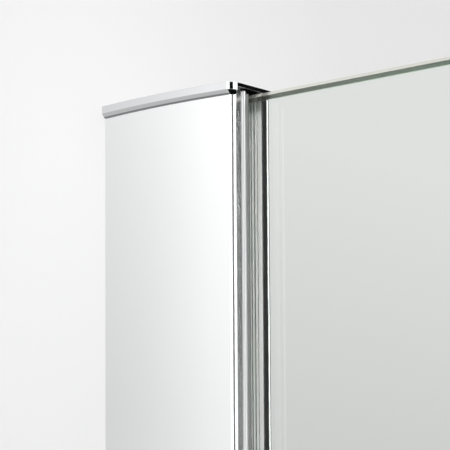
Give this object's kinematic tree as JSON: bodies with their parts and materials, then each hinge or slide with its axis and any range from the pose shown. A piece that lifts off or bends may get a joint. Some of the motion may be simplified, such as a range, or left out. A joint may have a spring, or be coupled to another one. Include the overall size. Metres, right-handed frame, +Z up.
{
  "type": "walk-in shower screen",
  "caption": "Fixed walk-in shower screen: tall clear glass pane in a bowed wall profile with slide-out width adjustment, chrome end caps and a telescopic brace bar.",
  "frame": {"origin": "on the wall plane, in the middle plane of the pane, halfway between the wall screw holes of the wall profile", "axes": "+X out from the wall along the pane, +Y from the bowed front face to the rear, +Z up"},
  "size_m": [0.99, 0.7092, 2.0058],
  "materials": {
    "bright_profile": "bright polished and anodised extrusion, faint draw lines along its length",
    "chrome_trim": "mirror chrome plating",
    "chrome_tube": "mirror chrome plating on brass tube",
    "steel_screws": "plain stainless steel",
    "clear_glass": "clear tempered float glass with ground and polished edges",
    "clear_seal": "clear soft vinyl",
    "black_rubber": "smooth black gasket rubber",
    "grey_rubber": "soft grey gasket rubber",
    "grey_plastic": "moulded light grey plastic",
    "white_plastic": "natural acetal"
  },
  "bodies": {
    "wall_side": {"wall_profile": "bright_profile", "bottom_cap": "grey_plastic", "wall_hinge_pin": "chrome_trim", "wall_flange": "chrome_trim", "flange_base": "steel_screws", "flange_screw": "steel_screws"},
    "cap": {"top_cap": "chrome_trim"},
    "glass_side": {"glass_profile": "bright_profile", "glass_panel": "clear_glass", "front_gasket": "grey_rubber", "rear_gasket": "black_rubber", "setting_blocks": "black_rubber", "locking_screws": "steel_screws", "locking_washers": "steel_screws", "bottom_seal": "clear_seal", "clamp_body": "chrome_trim", "clamp_pads": "black_rubber", "clamp_pressure_plate": "steel_screws", "clamp_set_screw": "steel_screws", "clamp_hinge_pin": "chrome_trim"},
    "cover_lower": {"screw_cover_lower": "chrome_trim"},
    "cover_middle": {"screw_cover_middle": "chrome_trim"},
    "cover_upper": {"screw_cover_upper": "chrome_trim"},
    "bar_outer": {"bar_outer_tube": "chrome_tube", "bar_collar": "chrome_trim", "collar_screw": "steel_screws", "bar_wall_eye": "chrome_trim", "wall_eye_screw": "steel_screws"},
    "bar_inner": {"bar_glass_eye": "chrome_trim", "glass_eye_screw": "steel_screws", "bar_inner_tube": "chrome_tube", "bar_glide": "white_plastic"}
  },
  "joints": [
    {"name": "width_adjustment", "type": "slide", "parent": "wall_side", "child": "glass_side", "axis": [1, 0, 0], "range_m": [0, 0.02]},
    {"name": "top_cap_lift", "type": "slide", "parent": "wall_side", "child": "cap", "axis": [0, 0, 1], "range_m": [0, 0.012]},
    {"name": "cover_lower_pull", "type": "slide", "parent": "glass_side", "child": "cover_lower", "axis": [0, 1, 0], "range_m": [0, 0.006]},
    {"name": "cover_middle_pull", "type": "slide", "parent": "glass_side", "child": "cover_middle", "axis": [0, 1, 0], "range_m": [0, 0.006]},
    {"name": "cover_upper_pull", "type": "slide", "parent": "glass_side", "child": "cover_upper", "axis": [0, 1, 0], "range_m": [0, 0.006]},
    {"name": "bar_swing", "type": "hinge", "parent": "wall_side", "child": "bar_outer", "pos_m": [0.028, 0.6757, 0.98485], "axis": [0, 0, 1], "range_deg": [0, 0.87]},
    {"name": "bar_extend", "type": "slide", "parent": "bar_outer", "child": "bar_inner", "axis": [0.7071, -0.7071, 0], "range_m": [0, 0.0143]}
  ],
  "couplings": [
    {"joint": "bar_swing", "follows": "width_adjustment", "rad_per_m": 0.75523},
    {"joint": "bar_extend", "follows": "width_adjustment", "ratio": 0.71245}
  ]
}
